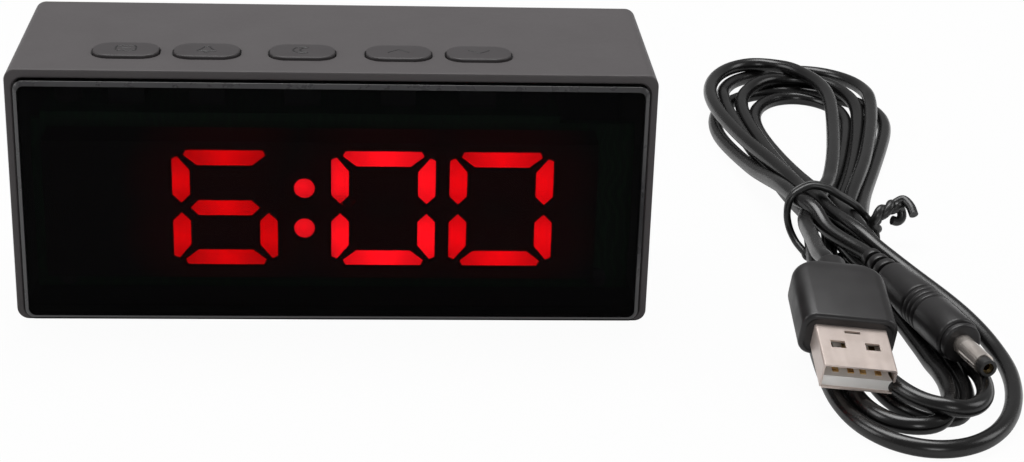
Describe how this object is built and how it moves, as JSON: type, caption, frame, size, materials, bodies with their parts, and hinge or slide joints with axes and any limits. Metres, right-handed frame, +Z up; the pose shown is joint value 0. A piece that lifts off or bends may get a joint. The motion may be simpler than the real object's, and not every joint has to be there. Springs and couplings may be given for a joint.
{
  "type": "digital alarm clock",
  "caption": "Black desk alarm clock: box housing with smoked front lens, red digits, push buttons on top, battery bay at the rear, and its unplugged USB power lead tied in a hank.",
  "frame": {"origin": "middle of the clock's footprint, on the surface that its rubber feet stand on", "axes": "+X to the right seen from the front, +Y to the rear, +Z up; the lens faces -Y and the lead lies on the +X side"},
  "size_m": [0.173, 0.1785, 0.0464],
  "materials": {
    "shell_plastic": "fine moulded texture, satin",
    "smoked_lens": "polished, smoked",
    "foam_tape": "matt",
    "reflector_plastic": "matt",
    "segment_lit": "lit resin",
    "segment_unlit": "dark resin",
    "diffuser_film": "frosted",
    "led_chip": "clear over pale",
    "circuit_board": "solder mask",
    "chip_epoxy": "matt",
    "crystal_can": "tinned",
    "capacitor_sleeve": "shrink sleeve",
    "header_plastic": "matt",
    "switch_plastic": "matt",
    "screw_steel": "zinc plated",
    "spring_nickel": "nickel plated",
    "foot_rubber": "matt",
    "jack_plastic": "smooth",
    "contact_nickel": "nickel plated",
    "contact_brass": "gold flash",
    "buzzer_plastic": "matt",
    "wire_red": "smooth",
    "wire_black": "smooth",
    "plug_rubber": "satin moulded",
    "shell_nickel": "nickel plated, lightly brushed",
    "tongue_plastic": "moulded",
    "cord_jacket": "satin extruded",
    "tie_plastic": "ribbed paper-thin plastic over wire",
    "button_plastic": "satin moulded",
    "plunger_plastic": "smooth"
  },
  "bodies": {
    "clock": {"housing": "shell_plastic", "rear_cover": "shell_plastic", "lens": "smoked_lens", "lens_tape": "foam_tape", "reflector_block": "reflector_plastic", "lit_segments": "segment_lit", "unlit_segments": "segment_unlit", "diffuser_film": "diffuser_film", "led_chips": "led_chip", "display_board": "circuit_board", "controller_chip": "chip_epoxy", "crystal": "crystal_can", "capacitor": "capacitor_sleeve", "board_header": "header_plastic", "button_board": "circuit_board", "switch_bodies": "switch_plastic", "board_screws": "screw_steel", "battery_springs": "spring_nickel", "battery_plates": "spring_nickel", "cover_screws": "screw_steel", "rubber_feet": "foot_rubber", "power_jack": "jack_plastic", "jack_pin": "contact_nickel", "jack_contact": "contact_brass", "buzzer": "buzzer_plastic", "red_wires": "wire_red", "black_wires": "wire_black", "usb_overmold": "plug_rubber", "usb_shell": "shell_nickel", "usb_tongue": "tongue_plastic", "usb_contacts": "contact_brass", "plug_overmold": "plug_rubber", "plug_barrel": "shell_nickel", "plug_insulator": "jack_plastic", "plug_center_contact": "contact_brass", "cord_hank": "cord_jacket", "usb_lead": "cord_jacket", "plug_lead": "cord_jacket", "twist_tie": "tie_plastic"},
    "button_mode_key": {"button_mode": "button_plastic", "plunger_mode": "plunger_plastic"},
    "button_alarm_key": {"button_alarm": "button_plastic", "plunger_alarm": "plunger_plastic"},
    "button_snooze_key": {"button_snooze": "button_plastic", "plunger_snooze": "plunger_plastic"},
    "button_up_key": {"button_up": "button_plastic", "plunger_up": "plunger_plastic"},
    "button_down_key": {"button_down": "button_plastic", "plunger_down": "plunger_plastic"},
    "door": {"battery_door": "shell_plastic"}
  },
  "joints": [
    {"name": "press_mode", "type": "slide", "parent": "clock", "child": "button_mode_key", "axis": [0, 0, -1], "range_m": [0, 0.0006], "stiffness_N_per_m": 800},
    {"name": "press_alarm", "type": "slide", "parent": "clock", "child": "button_alarm_key", "axis": [0, 0, -1], "range_m": [0, 0.0006], "stiffness_N_per_m": 800},
    {"name": "press_snooze", "type": "slide", "parent": "clock", "child": "button_snooze_key", "axis": [0, 0, -1], "range_m": [0, 0.0006], "stiffness_N_per_m": 800},
    {"name": "press_up", "type": "slide", "parent": "clock", "child": "button_up_key", "axis": [0, 0, -1], "range_m": [0, 0.0006], "stiffness_N_per_m": 800},
    {"name": "press_down", "type": "slide", "parent": "clock", "child": "button_down_key", "axis": [0, 0, -1], "range_m": [0, 0.0006], "stiffness_N_per_m": 800},
    {"name": "door_swing", "type": "hinge", "parent": "clock", "child": "door", "pos_m": [-0.014, 0.0197, 0.0048], "axis": [-1, 0, 0], "range_deg": [0, 80]}
  ]
}
